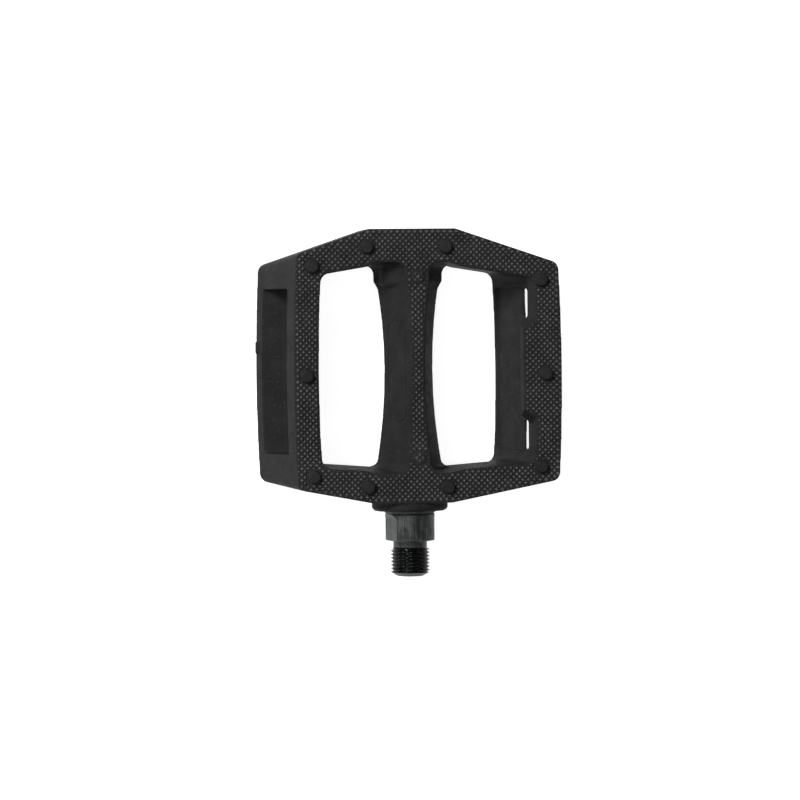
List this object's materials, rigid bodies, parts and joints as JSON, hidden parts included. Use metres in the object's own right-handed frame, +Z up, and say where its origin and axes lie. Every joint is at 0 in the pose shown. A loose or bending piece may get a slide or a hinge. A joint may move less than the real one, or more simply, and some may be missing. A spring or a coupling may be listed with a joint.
{
  "type": "flat pedal",
  "caption": "Bicycle platform pedal: a moulded cage with knurled treads and stub pins on both faces, turning on a threaded steel spindle with wrench flats.",
  "frame": {"origin": "centre of the bounding box, on the spindle's axis", "axes": "+Y along the spindle away from the crank, +Z up out of the upper tread, +X across the tread"},
  "size_m": [0.1084, 0.1254, 0.0296],
  "materials": {
    "body_plastic": "black glass-filled nylon, satin, with a knurled tread",
    "spindle_steel": "black oxide on forged and turned steel",
    "bearing_steel": "ground and polished bearing steel",
    "zinc_steel": "zinc plate",
    "seal_rubber": "matt black",
    "cap_plastic": "black, fine moulded grain"
  },
  "bodies": {
    "spindle": {"spindle": "spindle_steel", "outboard_cone": "bearing_steel", "keyed_washer": "zinc_steel", "lock_nut": "zinc_steel"},
    "platform": {"pedal_body": "body_plastic", "dust_seal": "seal_rubber", "dust_cap": "cap_plastic", "inboard_bearing_cup": "bearing_steel", "outboard_bearing_cup": "bearing_steel"},
    "inboard_balls": {"inboard_ball_01": "bearing_steel", "inboard_ball_02": "bearing_steel", "inboard_ball_03": "bearing_steel", "inboard_ball_04": "bearing_steel", "inboard_ball_05": "bearing_steel", "inboard_ball_06": "bearing_steel", "inboard_ball_07": "bearing_steel", "inboard_ball_08": "bearing_steel", "inboard_ball_09": "bearing_steel", "inboard_ball_10": "bearing_steel", "inboard_ball_11": "bearing_steel", "inboard_ball_12": "bearing_steel", "inboard_ball_13": "bearing_steel"},
    "outboard_balls": {"outboard_ball_01": "bearing_steel", "outboard_ball_02": "bearing_steel", "outboard_ball_03": "bearing_steel", "outboard_ball_04": "bearing_steel", "outboard_ball_05": "bearing_steel", "outboard_ball_06": "bearing_steel", "outboard_ball_07": "bearing_steel", "outboard_ball_08": "bearing_steel", "outboard_ball_09": "bearing_steel", "outboard_ball_10": "bearing_steel", "outboard_ball_11": "bearing_steel"}
  },
  "joints": [
    {"name": "platform_spin", "type": "hinge", "parent": "spindle", "child": "platform", "pos_m": [0, 0.01045, 0], "axis": [0, 1, 0], "continuous": true},
    {"name": "inboard_ball_orbit", "type": "hinge", "parent": "spindle", "child": "inboard_balls", "pos_m": [0, 0.01045, 0], "axis": [0, 1, 0], "continuous": true},
    {"name": "outboard_ball_orbit", "type": "hinge", "parent": "spindle", "child": "outboard_balls", "pos_m": [0, 0.01045, 0], "axis": [0, 1, 0], "continuous": true}
  ],
  "couplings": [
    {"joint": "inboard_ball_orbit", "follows": "platform_spin", "ratio": 0.5813},
    {"joint": "outboard_ball_orbit", "follows": "platform_spin", "ratio": 0.5905}
  ]
}
